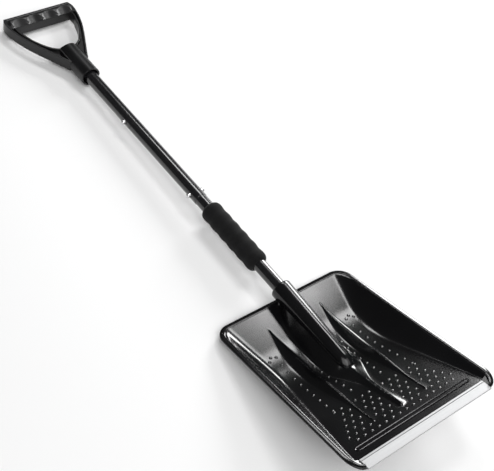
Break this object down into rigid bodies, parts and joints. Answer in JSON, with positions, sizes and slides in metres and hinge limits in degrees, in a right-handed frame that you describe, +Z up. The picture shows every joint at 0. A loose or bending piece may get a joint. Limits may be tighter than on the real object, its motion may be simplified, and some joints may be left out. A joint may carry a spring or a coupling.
{
  "type": "snow shovel",
  "caption": "Short snow shovel that comes apart: black scoop blade with a bright wear strip, three painted tubes joined by snap buttons, foam sleeve and D-grip.",
  "frame": {"origin": "middle of the footprint on the floor, under the handle's centre line, with the shovel lying on its back on the blade's heel and the D-grip's crossbar", "axes": "+Y along the handle towards the D-grip, +X to the right when looking along +Y, +Z up, out of the side that carries the snow"},
  "size_m": [0.2698, 1.0016, 0.0865],
  "materials": {
    "blade_plastic": "moulded black plastic, satin",
    "strip_aluminium": "bright rolled aluminium",
    "rivet_aluminium": "bright rivet heads",
    "zinc_screw": "zinc-plated screw",
    "black_paint": "black powder coat, satin",
    "foam": "matt black foam",
    "spring_steel": "bent spring steel",
    "button_steel": "polished steel",
    "grip_plastic": "moulded black plastic, satin"
  },
  "bodies": {
    "blade_section": {"blade": "blade_plastic", "wear_strip": "strip_aluminium", "strip_rivets": "rivet_aluminium", "socket_screw": "zinc_screw", "lower_tube": "black_paint", "foam_grip": "foam", "lower_spring": "spring_steel"},
    "middle_section": {"middle_tube": "black_paint", "upper_spring": "spring_steel"},
    "grip_section": {"top_tube": "black_paint", "d_grip": "grip_plastic", "grip_screw": "zinc_screw"},
    "lower_left_button": {"lower_button_left": "button_steel"},
    "lower_right_button": {"lower_button_right": "button_steel"},
    "upper_left_button": {"upper_button": "button_steel"}
  },
  "joints": [
    {"name": "middle_pull", "type": "slide", "parent": "blade_section", "child": "middle_section", "axis": [0, 0.9998, -0.019], "range_m": [0, 0.15]},
    {"name": "grip_pull", "type": "slide", "parent": "middle_section", "child": "grip_section", "axis": [0, 0.9998, -0.019], "range_m": [0, 0.15]},
    {"name": "lower_left_press", "type": "slide", "parent": "blade_section", "child": "lower_left_button", "axis": [1, 0, 0], "range_m": [0, 0.0064], "stiffness_N_per_m": 900, "deforming": ["lower_spring"]},
    {"name": "lower_right_press", "type": "slide", "parent": "blade_section", "child": "lower_right_button", "axis": [-1, 0, 0], "range_m": [0, 0.0064], "stiffness_N_per_m": 900, "deforming": ["lower_spring"]},
    {"name": "upper_press", "type": "slide", "parent": "middle_section", "child": "upper_left_button", "axis": [1, 0, 0], "range_m": [0, 0.0064], "stiffness_N_per_m": 900, "deforming": ["upper_spring"]}
  ]
}
